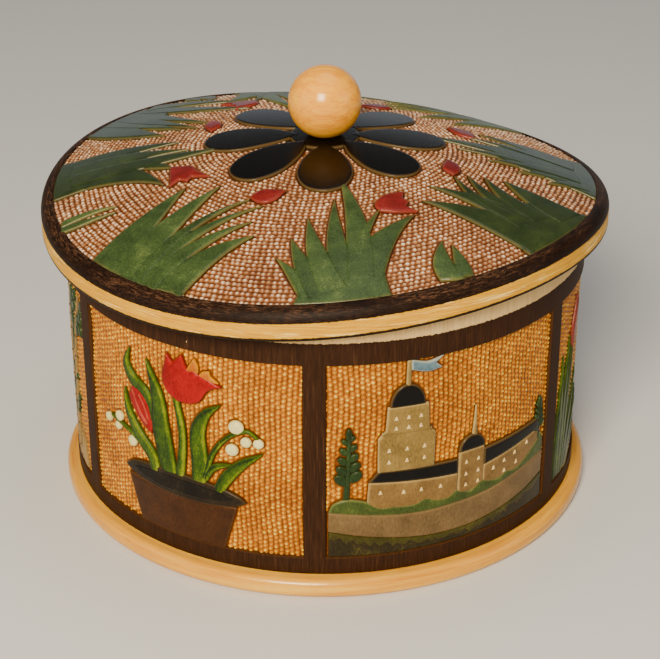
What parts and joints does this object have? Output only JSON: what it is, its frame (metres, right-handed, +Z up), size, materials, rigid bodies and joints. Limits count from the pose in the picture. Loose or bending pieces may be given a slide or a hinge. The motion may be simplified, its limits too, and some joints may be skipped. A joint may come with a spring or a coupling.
{
  "type": "lidded wooden box",
  "caption": "Round carved wooden box with a rounded base plate, panelled wall and a domed lift-off lid with a ball knob.",
  "frame": {"origin": "centre of the base plate's flat underside", "axes": "+Z up along the turning axis, +X to the right of the front, the front faces -Y"},
  "size_m": [0.22, 0.22, 0.1688],
  "materials": {
    "honey_wood": "glossy amber lacquer over light wood",
    "carved_wood": "carved, stained and lacquered",
    "lid_wood": "carved, stained and lacquered",
    "knob_wood": "glossy amber lacquer",
    "raw_wood": "bare"
  },
  "bodies": {
    "box_body": {"base_plate": "honey_wood", "carved_wall": "carved_wood"},
    "lid": {"domed_lid": "lid_wood", "ball_knob": "knob_wood", "knob_dowel": "raw_wood"}
  },
  "joints": [
    {"name": "lid_lift", "type": "slide", "parent": "box_body", "child": "lid", "axis": [0, 0, 1], "range_m": [0, 0.13]}
  ]
}
